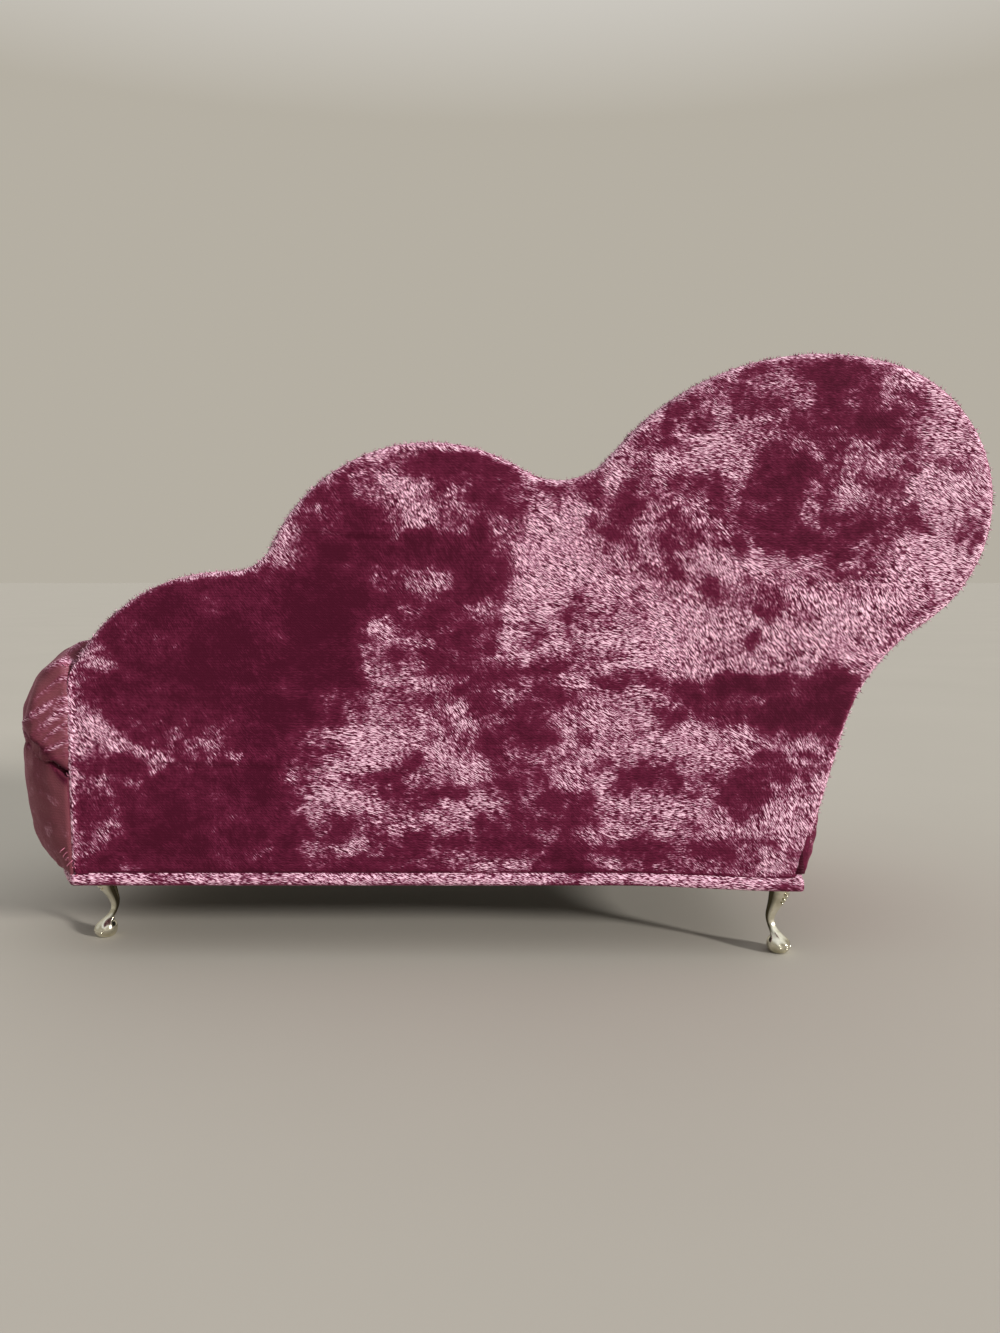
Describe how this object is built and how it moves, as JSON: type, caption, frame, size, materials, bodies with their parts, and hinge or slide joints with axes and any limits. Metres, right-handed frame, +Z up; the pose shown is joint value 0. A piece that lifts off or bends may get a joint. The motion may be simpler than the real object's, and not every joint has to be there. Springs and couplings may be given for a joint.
{
  "type": "chaise longue",
  "caption": "Miniature velvet chaise longue with a flat lobed back panel, scroll head rest, plump seat with a bowed foot end, and cast cabriole legs.",
  "frame": {"origin": "on the floor under the middle of the object's length and depth", "axes": "+Z up, +X towards the bowed foot end, -Y towards the side the sitter faces, so the flat back panel is on +Y"},
  "size_m": [0.3208, 0.129, 0.1908],
  "materials": {
    "velvet": "crushed knitted velvet, mottled burgundy and light mauve",
    "wadding": "polyester wadding",
    "board": "bare fibreboard and thin plywood",
    "lining": "black nonwoven lining",
    "cast_metal": "polished cast white metal"
  },
  "bodies": {
    "root": {"leg_rear_head": "cast_metal", "leg_rear_foot": "cast_metal", "leg_front_head": "cast_metal", "leg_front_foot": "cast_metal", "base_board": "board", "base_cover": "velvet", "underside_lining": "lining", "rear_rail": "board", "front_rail": "board", "head_rail": "board", "foot_former": "board", "corner_blocks": "board", "seat_deck": "board", "side_wadding": "wadding", "side_cover": "velvet", "seat_filling": "wadding", "seat_cover": "velvet", "back_board": "board", "back_wadding": "wadding", "back_cover": "velvet", "inside_back_filling": "wadding", "inside_back_cover": "velvet", "back_buttons": "velvet", "head_former_front": "board", "head_former_rear": "board", "head_bent_board": "board", "head_filling": "wadding", "head_cover": "velvet", "head_facing_board": "board", "head_facing_cover": "velvet"}
  },
  "joints": []
}
